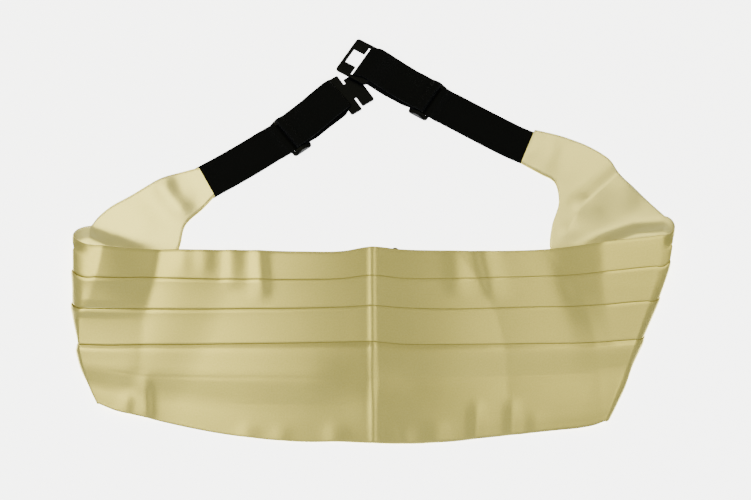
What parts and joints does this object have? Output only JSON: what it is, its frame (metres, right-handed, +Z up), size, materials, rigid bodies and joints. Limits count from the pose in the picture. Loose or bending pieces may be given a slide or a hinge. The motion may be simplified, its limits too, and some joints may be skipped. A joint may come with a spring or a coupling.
{
  "type": "cummerbund",
  "caption": "Pleated satin cummerbund laid flat, its ends folded under, with elastic straps that meet in a flat hook and an eye plate.",
  "frame": {"origin": "on the table, under the middle of the outline of the whole laid garment", "axes": "+X along the band towards the right fold, +Y from the hem towards the straps, +Z up from the table through the pleated front"},
  "size_m": [0.4038, 0.3018, 0.0159],
  "materials": {
    "satin": "satin",
    "lining": "satin",
    "webbing": "matt elastic",
    "plastic": "semi-matt"
  },
  "bodies": {
    "root": {"front": "satin", "lining": "lining", "strap_left": "webbing", "strap_right": "webbing", "slide_left": "plastic", "slide_right": "plastic", "hook_plate": "plastic", "eye_plate": "plastic", "button_loop": "webbing"}
  },
  "joints": []
}
